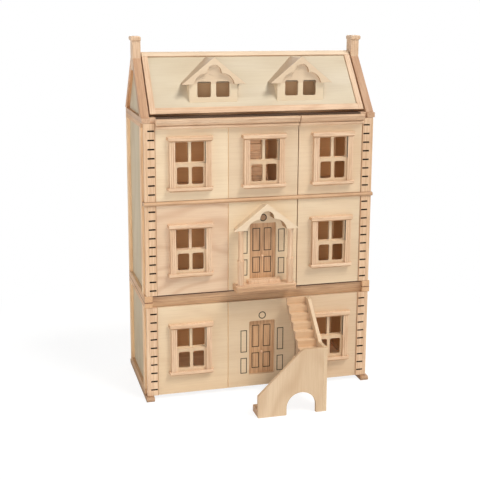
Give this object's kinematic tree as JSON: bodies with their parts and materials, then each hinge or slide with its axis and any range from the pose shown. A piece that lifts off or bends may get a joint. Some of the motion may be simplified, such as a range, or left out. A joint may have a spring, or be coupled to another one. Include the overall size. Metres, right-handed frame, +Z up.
{
  "type": "dollhouse",
  "caption": "Wooden dollhouse with front doors on corner posts, sliding sash windows, porch, lifting front roof with dormers, end chimneys and a free-standing angled stair",
  "frame": {"origin": "middle of the footprint of house and stair together, on the surface that they stand on", "axes": "+X to the right seen from the front, +Y to the back, +Z up"},
  "size_m": [0.615, 0.4532, 0.9235],
  "materials": {
    "beech": "satin clear lacquer",
    "ply": "satin clear lacquer",
    "entrance_wood": "satin clear lacquer",
    "pins": "plain"
  },
  "bodies": {
    "house": {"runners": "beech", "ground_floor": "ply", "ground_frame_left": "beech", "ground_frame_right": "beech", "ground_side_panels": "ply", "ground_back": "ply", "ground_ceiling": "beech", "middle_floor": "beech", "upper_frame_left": "beech", "upper_frame_right": "beech", "upper_side_panels": "ply", "upper_back": "ply", "partitions": "ply", "top_floor": "ply", "string_course": "beech", "inner_stairs": "entrance_wood", "attic_floor": "beech", "gable_frame_left": "beech", "gable_frame_right": "beech", "gable_panels": "ply", "chimneys": "beech", "roof_back": "ply", "hinge_pins": "pins"},
    "roof_flap": {"roof_front_frame": "beech", "roof_front_panel": "ply", "dormer_left": "ply", "dormer_right": "ply"},
    "door_top_left": {"panel_top_left": "ply", "post_top_left": "beech", "trim_top_left": "beech", "cornice_left": "beech"},
    "door_top_right": {"panel_top_right": "ply", "post_top_right": "beech", "trim_top_right": "beech", "cornice_right": "beech"},
    "door_middle_left": {"panel_middle_left": "ply", "post_middle_left": "beech", "trim_middle_left": "beech", "porch": "beech"},
    "door_middle_right": {"panel_middle_right": "ply", "post_middle_right": "beech", "trim_middle_right": "beech"},
    "door_ground_left": {"panel_ground_left": "ply", "post_ground_left": "beech", "trim_ground_left": "beech"},
    "door_ground_right": {"panel_ground_right": "ply", "post_ground_right": "beech", "trim_ground_right": "beech"},
    "window_top_left": {"sash_top_left": "beech"},
    "window_top_middle": {"sash_top_middle": "beech"},
    "window_top_right": {"sash_top_right": "beech"},
    "window_middle_left": {"sash_middle_left": "beech"},
    "window_middle_right": {"sash_middle_right": "beech"},
    "window_ground_left": {"sash_ground_left": "beech"},
    "window_ground_right": {"sash_ground_right": "beech"},
    "porch_leaf": {"porch_door": "entrance_wood"},
    "ground_leaf": {"ground_door": "entrance_wood"},
    "stair": {"stair_cheeks": "ply", "stair_steps": "beech"}
  },
  "joints": [
    {"name": "roof_lift", "type": "hinge", "parent": "house", "child": "roof_flap", "pos_m": [0, 0.08865, 0.87552], "axis": [-1, 0, 0], "range_deg": [0, 150]},
    {"name": "door_top_left_swing", "type": "hinge", "parent": "house", "child": "door_top_left", "pos_m": [-0.291, -0.04565, 0.62], "axis": [0, 0, -1], "range_deg": [0, 90]},
    {"name": "door_top_right_swing", "type": "hinge", "parent": "house", "child": "door_top_right", "pos_m": [0.291, -0.04565, 0.62], "axis": [0, 0, 1], "range_deg": [0, 90]},
    {"name": "door_middle_left_swing", "type": "hinge", "parent": "house", "child": "door_middle_left", "pos_m": [-0.291, -0.04565, 0.39575], "axis": [0, 0, -1], "range_deg": [0, 90]},
    {"name": "door_middle_right_swing", "type": "hinge", "parent": "house", "child": "door_middle_right", "pos_m": [0.291, -0.04565, 0.39575], "axis": [0, 0, 1], "range_deg": [0, 90]},
    {"name": "door_ground_left_swing", "type": "hinge", "parent": "house", "child": "door_ground_left", "pos_m": [-0.291, -0.04565, 0.1305], "axis": [0, 0, -1], "range_deg": [0, 90]},
    {"name": "door_ground_right_swing", "type": "hinge", "parent": "house", "child": "door_ground_right", "pos_m": [0.291, -0.04565, 0.1305], "axis": [0, 0, 1], "range_deg": [0, 90]},
    {"name": "window_top_left_slide", "type": "slide", "parent": "door_top_left", "child": "window_top_left", "axis": [0, 0, 1], "range_m": [0, 0.054]},
    {"name": "window_top_middle_slide", "type": "slide", "parent": "door_top_left", "child": "window_top_middle", "axis": [0, 0, 1], "range_m": [0, 0.054]},
    {"name": "window_top_right_slide", "type": "slide", "parent": "door_top_right", "child": "window_top_right", "axis": [0, 0, 1], "range_m": [0, 0.054]},
    {"name": "window_middle_left_slide", "type": "slide", "parent": "door_middle_left", "child": "window_middle_left", "axis": [0, 0, 1], "range_m": [0, 0.054]},
    {"name": "window_middle_right_slide", "type": "slide", "parent": "door_middle_right", "child": "window_middle_right", "axis": [0, 0, 1], "range_m": [0, 0.054]},
    {"name": "window_ground_left_slide", "type": "slide", "parent": "door_ground_left", "child": "window_ground_left", "axis": [0, 0, 1], "range_m": [0, 0.054]},
    {"name": "window_ground_right_slide", "type": "slide", "parent": "door_ground_right", "child": "window_ground_right", "axis": [0, 0, 1], "range_m": [0, 0.054]},
    {"name": "porch_leaf_swing", "type": "hinge", "parent": "door_middle_left", "child": "porch_leaf", "pos_m": [0.04275, -0.04135, 0.3802], "axis": [0, 0, -1], "range_deg": [0, 85]},
    {"name": "ground_leaf_swing", "type": "hinge", "parent": "door_ground_left", "child": "ground_leaf", "pos_m": [0.04275, -0.04135, 0.1127], "axis": [0, 0, -1], "range_deg": [0, 85]},
    {"name": "stair_pull", "type": "slide", "parent": "house", "child": "stair", "axis": [0, -1, 0], "range_m": [0, 0.565]}
  ],
  "couplings": [
    {"joint": "door_ground_left_swing", "follows": "stair_pull", "rad_per_m": 2.78},
    {"joint": "door_ground_right_swing", "follows": "stair_pull", "rad_per_m": 2.78}
  ]
}
